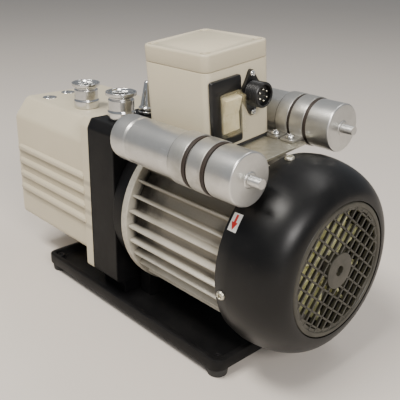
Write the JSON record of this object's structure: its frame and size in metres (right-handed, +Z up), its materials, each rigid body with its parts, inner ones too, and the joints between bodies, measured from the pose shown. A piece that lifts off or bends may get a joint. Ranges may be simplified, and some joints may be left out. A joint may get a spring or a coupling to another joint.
{
  "type": "rotary vane vacuum pump",
  "caption": "Rotary vane vacuum pump on a tray base, with a ribbed oil case, flanged ports, finned motor, fan cowl, terminal box and motor capacitors.",
  "frame": {"origin": "centre of the whole pump's footprint box, on the surface that the rubber feet stand on", "axes": "+X along the shaft, from the oil case to the fan grille; +Z up; -Y is the side with the inlet and exhaust nearer to it"},
  "size_m": [0.4134, 0.186, 0.28],
  "materials": {
    "cream_paint": "semi-gloss cream paint on cast aluminium and sheet",
    "black_paint": "semi-gloss black paint",
    "rubber": "matte black rubber",
    "sight_glass": "clear glass with oil behind",
    "bright_steel": "bright turned stainless and nickel plate",
    "zinc_steel": "zinc-plated steel",
    "can_aluminium": "drawn aluminium, satin",
    "cast_aluminium": "as-cast aluminium",
    "iron": "machined iron",
    "copper_winding": "enamelled winding and laminations",
    "vane_composite": "fibre composite",
    "fan_plastic": "moulded yellow-green plastic",
    "grille_plastic": "moulded dark olive plastic",
    "black_plastic": "moulded black plastic",
    "rocker_plastic": "ivory plastic",
    "clear_boot": "clear vinyl, yellowed"
  },
  "bodies": {
    "pump_frame": {"base_plate": "black_paint", "rubber_foot_1": "rubber", "rubber_foot_2": "rubber", "rubber_foot_3": "rubber", "rubber_foot_4": "rubber", "pump_plate": "black_paint", "oil_case": "cream_paint", "oil_case_gasket": "rubber", "oil_sight_glass": "sight_glass", "oil_drain_plug": "bright_steel", "oil_fill_plug": "bright_steel", "oil_vent_plug": "bright_steel", "exhaust_port": "bright_steel", "inlet_port": "bright_steel", "pump_stator": "iron", "pump_end_cover": "iron", "coupling_housing": "black_paint", "drive_end_shield": "cast_aluminium", "motor_housing": "cast_aluminium", "stator_core": "copper_winding", "front_bearing": "bright_steel", "rear_bearing": "bright_steel", "rear_end_shield": "cast_aluminium", "fan_cowl": "black_paint", "fan_grille": "grille_plastic", "cowl_screw_1": "zinc_steel", "cowl_screw_2": "zinc_steel", "cowl_screw_3": "zinc_steel", "cowl_screw_4": "zinc_steel", "capacitor_bracket": "zinc_steel", "terminal_box_gasket": "rubber", "terminal_box": "cream_paint", "terminal_box_lid": "cream_paint", "lid_screw_1": "zinc_steel", "lid_screw_2": "zinc_steel", "lid_screw_3": "zinc_steel", "lid_screw_4": "zinc_steel", "switch_frame": "black_plastic", "switch_boot": "clear_boot", "supply_inlet": "black_plastic", "inlet_screw_1": "bright_steel", "inlet_screw_2": "bright_steel", "near_capacitor": "can_aluminium", "far_capacitor": "can_aluminium", "near_clamp_1": "can_aluminium", "near_clamp_2": "can_aluminium", "far_clamp_1": "can_aluminium", "far_clamp_2": "can_aluminium", "clamp_screw_1": "bright_steel", "clamp_screw_2": "bright_steel", "clamp_screw_3": "bright_steel", "clamp_screw_4": "bright_steel"},
    "shaft_line": {"pump_rotor": "iron", "drive_coupling": "rubber", "motor_rotor": "iron", "cooling_fan": "fan_plastic"},
    "vane_1": {"vane_1": "vane_composite"},
    "vane_2": {"vane_2": "vane_composite"},
    "ballast_knob": {"gas_ballast_knob": "bright_steel"},
    "switch_key": {"switch_rocker": "rocker_plastic"}
  },
  "joints": [
    {"name": "shaft_spin", "type": "hinge", "parent": "pump_frame", "child": "shaft_line", "pos_m": [-0.04735, 0.00352, 0.107], "axis": [1, 0, 0], "continuous": true},
    {"name": "vane_1_slide", "type": "slide", "parent": "shaft_line", "child": "vane_1", "axis": [0, 0, 1], "range_m": [0, 0.0012]},
    {"name": "vane_2_slide", "type": "slide", "parent": "shaft_line", "child": "vane_2", "axis": [0, 0, -1], "range_m": [0, 0.0012]},
    {"name": "ballast_turn", "type": "hinge", "parent": "pump_frame", "child": "ballast_knob", "pos_m": [-0.02735, -0.00948, 0.194], "axis": [0, 0, 1], "range_deg": [0, 180]},
    {"name": "switch_rock", "type": "hinge", "parent": "pump_frame", "child": "switch_key", "pos_m": [0.09665, -0.02313, 0.22184], "axis": [0, -0.9945, -0.1045], "range_deg": [0, 16]}
  ]
}
